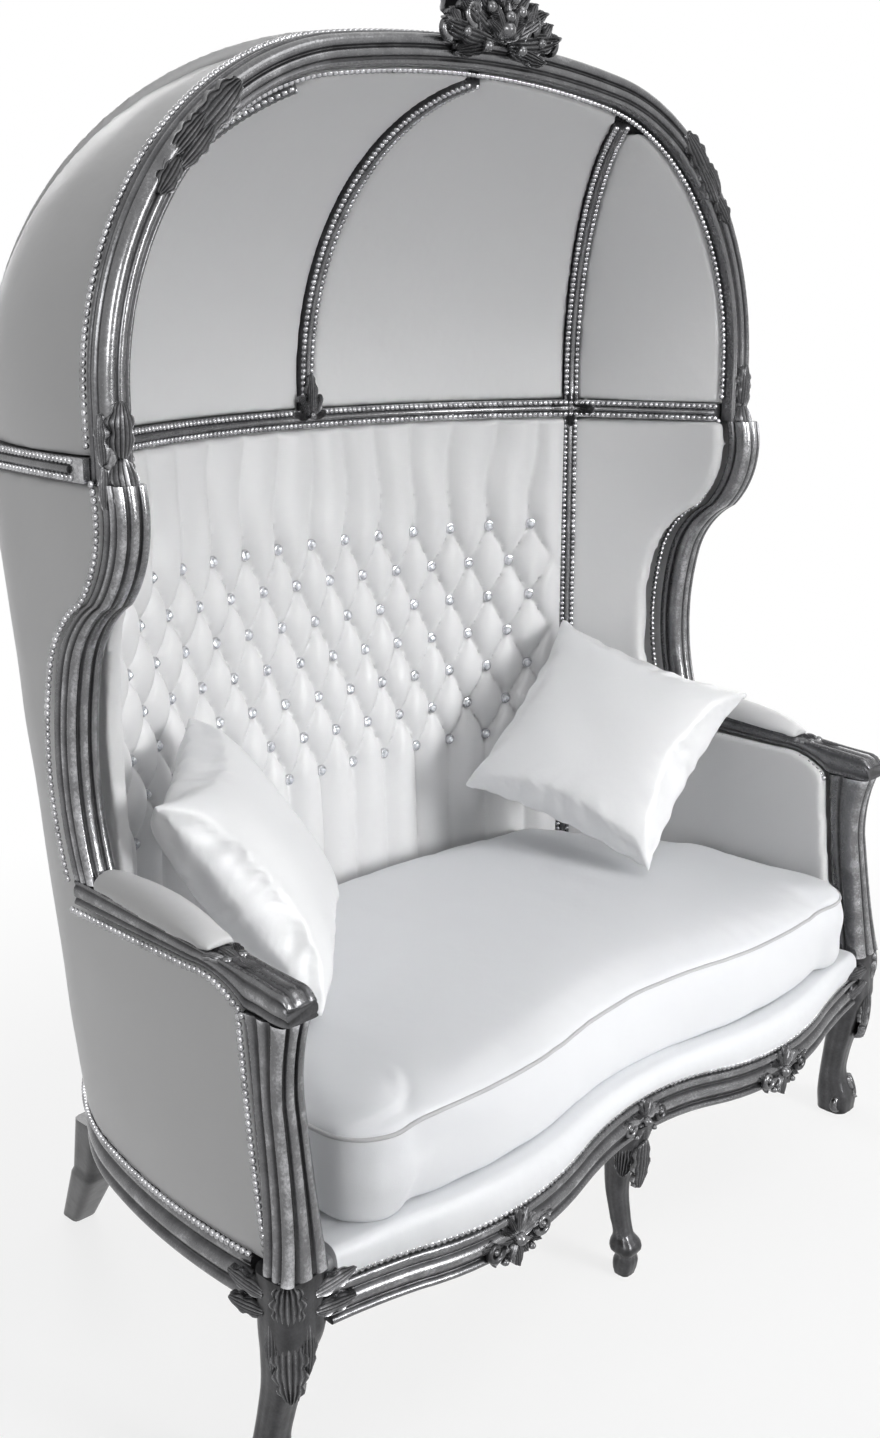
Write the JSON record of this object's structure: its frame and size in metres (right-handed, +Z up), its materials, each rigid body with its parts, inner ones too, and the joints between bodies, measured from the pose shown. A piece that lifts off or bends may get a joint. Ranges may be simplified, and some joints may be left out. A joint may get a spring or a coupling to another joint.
{
  "type": "two-seater sofa",
  "caption": "Canopy two-seater in carved silver wood: domed hood on an arch, tufted back, bowed seat cushion, padded arms, throw pillows and cabriole legs.",
  "frame": {"origin": "floor point midway between the sides and midway between front and back of the overall box", "axes": "+X to the viewer's right when facing the seat, +Y from the front to the back, +Z up"},
  "size_m": [1.4206, 0.863, 1.8997],
  "materials": {
    "silver_wood": "silver leaf over carved wood, rubbed back to dark grey in the hollows",
    "white_leather": "smooth white upholstery leather, satin",
    "pillow_leather": "smooth white leather, satin",
    "crystal": "cut and polished",
    "beech": "raw hardwood",
    "webbing": "woven strap"
  },
  "bodies": {
    "root": {"arch_leaves": "silver_wood", "arch_leg_left": "silver_wood", "arch_leg_right": "silver_wood", "arch_top": "silver_wood", "arm_pad_left": "white_leather", "arm_pad_right": "white_leather", "arm_post_left": "silver_wood", "arm_post_right": "silver_wood", "arm_rail_left": "silver_wood", "arm_rail_right": "silver_wood", "back_post_left": "silver_wood", "back_post_right": "silver_wood", "back_rail": "silver_wood", "canopy_rail_back": "silver_wood", "canopy_rail_left": "silver_wood", "canopy_rail_right": "silver_wood", "centre_leg": "silver_wood", "centre_rib": "silver_wood", "corner_blocks": "beech", "crest": "silver_wood", "crystal_buttons": "crystal", "frame_dowels": "beech", "front_leg_left": "silver_wood", "front_leg_right": "silver_wood", "front_rail": "silver_wood", "inner_dome_centre_left": "white_leather", "inner_dome_centre_right": "white_leather", "inner_dome_side_left": "white_leather", "inner_dome_side_right": "white_leather", "inner_side_panel_left": "white_leather", "inner_side_panel_right": "white_leather", "outer_back_panel": "white_leather", "outer_dome_centre_left": "white_leather", "outer_dome_centre_right": "white_leather", "outer_dome_side_left": "white_leather", "outer_dome_side_right": "white_leather", "outer_side_panel_left": "white_leather", "outer_side_panel_right": "white_leather", "rail_centre_carving": "silver_wood", "rail_shells": "silver_wood", "rear_leg_left": "silver_wood", "rear_leg_right": "silver_wood", "rib_foot_carving": "silver_wood", "seat_cushion": "white_leather", "seat_deck": "white_leather", "seat_webbing": "webbing", "shoulder_leaves": "silver_wood", "side_rail_left": "silver_wood", "side_rail_right": "silver_wood", "side_rib_left": "silver_wood", "side_rib_right": "silver_wood", "star_rosettes": "silver_wood", "throw_pillow_left": "pillow_leather", "throw_pillow_right": "pillow_leather", "tufted_back": "white_leather", "wing_frame_left": "silver_wood", "wing_frame_right": "silver_wood"}
  },
  "joints": []
}
